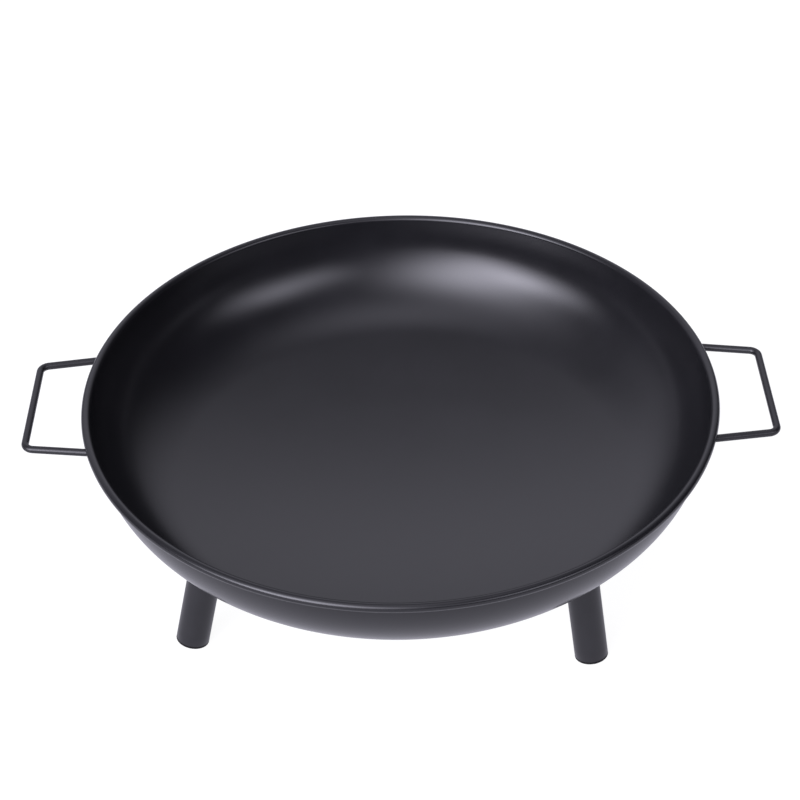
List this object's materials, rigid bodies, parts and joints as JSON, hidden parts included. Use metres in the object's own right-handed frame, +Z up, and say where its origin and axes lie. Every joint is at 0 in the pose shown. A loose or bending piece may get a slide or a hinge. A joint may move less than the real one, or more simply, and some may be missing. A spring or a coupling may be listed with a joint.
{
  "type": "fire bowl",
  "caption": "Shallow round pressed-steel fire bowl with a rolled rim, fixed wire handles and splayed tube legs that screw on from below; holds an open coal fire.",
  "frame": {"origin": "on the ground under the middle of the bowl", "axes": "+X towards the right-hand handle, +Z up, -Y to the front, between the two front legs"},
  "size_m": [0.7048, 0.6, 0.23],
  "materials": {
    "bowl_coat": "satin black powder coat",
    "rod_coat": "satin black powder coat",
    "weld_coat": "coated weld bead",
    "seat_coat": "satin black powder coat",
    "leg_coat": "satin black powder coat",
    "stud_steel": "zinc-plated thread",
    "washer_zinc": "bright zinc plate",
    "plug_steel": "turned steel, lightly oiled",
    "cap_plastic": "moulded polyethylene"
  },
  "bodies": {
    "root": {"bowl_shell": "bowl_coat", "handle_left": "rod_coat", "handle_right": "rod_coat", "handle_left_welds": "weld_coat", "handle_right_welds": "weld_coat", "leg_seat_left": "seat_coat", "leg_seat_weld_left": "weld_coat", "leg_stud_left": "stud_steel", "leg_seat_right": "seat_coat", "leg_seat_weld_right": "weld_coat", "leg_stud_right": "stud_steel", "leg_seat_rear": "seat_coat", "leg_seat_weld_rear": "weld_coat", "leg_stud_rear": "stud_steel"},
    "washer_left": {"leg_washer_left": "washer_zinc"},
    "leg_left": {"leg_plug_left": "plug_steel", "leg_tube_left": "leg_coat", "foot_cap_left": "cap_plastic"},
    "washer_right": {"leg_washer_right": "washer_zinc"},
    "leg_right": {"leg_plug_right": "plug_steel", "leg_tube_right": "leg_coat", "foot_cap_right": "cap_plastic"},
    "washer_rear": {"leg_washer_rear": "washer_zinc"},
    "leg_rear": {"leg_plug_rear": "plug_steel", "leg_tube_rear": "leg_coat", "foot_cap_rear": "cap_plastic"}
  },
  "joints": [
    {"name": "leg_left_travel", "type": "slide", "parent": "root", "child": "washer_left", "axis": [-0.2116, -0.0987, -0.9724], "range_m": [0, 0.0135]},
    {"name": "leg_left_unscrew", "type": "hinge", "parent": "washer_left", "child": "leg_left", "pos_m": [-0.17945, -0.08368, 0.12894], "axis": [-0.2116, -0.0987, -0.9724], "range_deg": [0, 3240]},
    {"name": "leg_right_travel", "type": "slide", "parent": "root", "child": "washer_right", "axis": [0.124, -0.124, -0.9845], "range_m": [0, 0.0135]},
    {"name": "leg_right_unscrew", "type": "hinge", "parent": "washer_right", "child": "leg_right", "pos_m": [0.16219, -0.11357, 0.12894], "axis": [0.124, -0.124, -0.9845], "range_deg": [0, 3240]},
    {"name": "leg_rear_travel", "type": "slide", "parent": "root", "child": "washer_rear", "axis": [0.0166, 0.1901, -0.9816], "range_m": [0, 0.0135]},
    {"name": "leg_rear_unscrew", "type": "hinge", "parent": "washer_rear", "child": "leg_rear", "pos_m": [0.01726, 0.19725, 0.12894], "axis": [0.0166, 0.1901, -0.9816], "range_deg": [0, 3240]}
  ],
  "couplings": [
    {"joint": "leg_left_travel", "follows": "leg_left_unscrew", "m_per_rad": 0.00023873},
    {"joint": "leg_right_travel", "follows": "leg_right_unscrew", "m_per_rad": 0.00023873},
    {"joint": "leg_rear_travel", "follows": "leg_rear_unscrew", "m_per_rad": 0.00023873}
  ]
}
